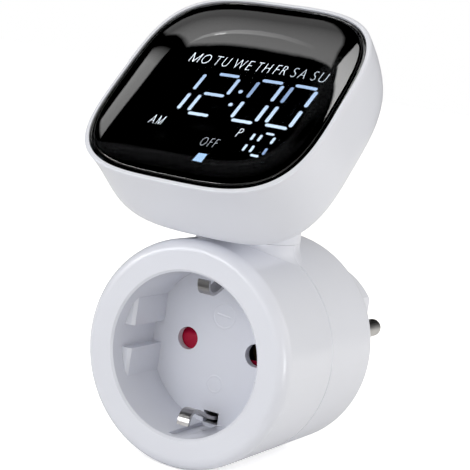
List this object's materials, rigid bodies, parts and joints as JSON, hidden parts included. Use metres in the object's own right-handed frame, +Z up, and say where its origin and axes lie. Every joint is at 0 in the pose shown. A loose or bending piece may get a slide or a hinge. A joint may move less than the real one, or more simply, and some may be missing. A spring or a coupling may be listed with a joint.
{
  "type": "plug-in timer switch",
  "caption": "Round plug-in timer switch: earthed socket in front, plug behind, and a lit square display head that swivels on a neck on top.",
  "frame": {"origin": "centre of the collar face that seats on the outlet, on the plug's axis", "axes": "+Y points along the plug pins into the outlet, +Z is up, +X is to the right seen from the front"},
  "size_m": [0.0586, 0.1076, 0.1101],
  "materials": {
    "white_shell": "semi-gloss moulded",
    "white_rear": "semi-gloss moulded",
    "white_button": "satin",
    "dark_lens": "polished, smoked",
    "display_black": "matte",
    "shutter_red": "matte",
    "carrier_black": "matte",
    "spring_steel": "bright drawn",
    "earth_steel": "tinned",
    "pin_nickel": "nickel plated",
    "screw_steel": "zinc plated",
    "contact_brass": "bright",
    "board_green": "solder mask",
    "relay_blue": "moulded",
    "capacitor_yellow": "moulded",
    "capacitor_dark": "sleeved",
    "fuse_brown": "moulded",
    "cable_grey": "matte jacket",
    "washer_white": "slippery",
    "spigot_grey": "satin",
    "chip_black": "moulded",
    "cell_green": "sleeved"
  },
  "bodies": {
    "base": {"front_housing": "white_shell", "rear_housing": "white_rear", "housing_screws": "screw_steel", "contact_carrier": "carrier_black", "carrier_screws": "screw_steel", "contact_left": "contact_brass", "contact_right": "contact_brass", "earth_strip_top": "earth_steel", "earth_strip_bottom": "earth_steel", "earth_link": "earth_steel", "plug_pin_left": "pin_nickel", "plug_pin_right": "pin_nickel", "power_board": "board_green", "power_board_screws": "screw_steel", "relay": "relay_blue", "film_capacitor": "capacitor_yellow", "smoothing_capacitor": "capacitor_dark", "fuse": "fuse_brown", "cable_lower": "cable_grey", "friction_washer": "washer_white"},
    "shutter": {"shutter": "shutter_red", "shutter_spring": "spring_steel"},
    "head": {"swivel_spigot": "spigot_grey", "spigot_screws": "screw_steel", "head_shell": "white_shell", "lens": "dark_lens", "display_module": "display_black", "display_board": "board_green", "display_board_screws": "screw_steel", "controller_chip": "chip_black", "button_switches": "carrier_black", "backup_battery": "cell_green", "cable_upper": "cable_grey"},
    "button_set": {"button_set": "white_button"},
    "button_minus": {"button_minus": "white_button"},
    "button_plus": {"button_plus": "white_button"},
    "button_on_off": {"button_on_off": "white_button"}
  },
  "joints": [
    {"name": "head_swivel", "type": "hinge", "parent": "base", "child": "head", "pos_m": [0, -0.0295, 0.0275], "axis": [0, 0, 1], "range_deg": [-90, 90]},
    {"name": "shutter_turn", "type": "hinge", "parent": "base", "child": "shutter", "pos_m": [0, -0.0314, 0], "axis": [0, -1, 0], "range_deg": [0, 40], "stiffness_Nm_per_rad": 0.002, "springref_deg": -11.46},
    {"name": "press_set", "type": "slide", "parent": "head", "child": "button_set", "axis": [0, -0.7071, -0.7071], "range_m": [0, 0.0006], "stiffness_N_per_m": 800, "springref_m": -0.0006},
    {"name": "press_minus", "type": "slide", "parent": "head", "child": "button_minus", "axis": [0, -0.7071, -0.7071], "range_m": [0, 0.0006], "stiffness_N_per_m": 800, "springref_m": -0.0006},
    {"name": "press_plus", "type": "slide", "parent": "head", "child": "button_plus", "axis": [0, -0.7071, -0.7071], "range_m": [0, 0.0006], "stiffness_N_per_m": 800, "springref_m": -0.0006},
    {"name": "press_on_off", "type": "slide", "parent": "head", "child": "button_on_off", "axis": [0, -0.7071, -0.7071], "range_m": [0, 0.0006], "stiffness_N_per_m": 800, "springref_m": -0.0006}
  ]
}
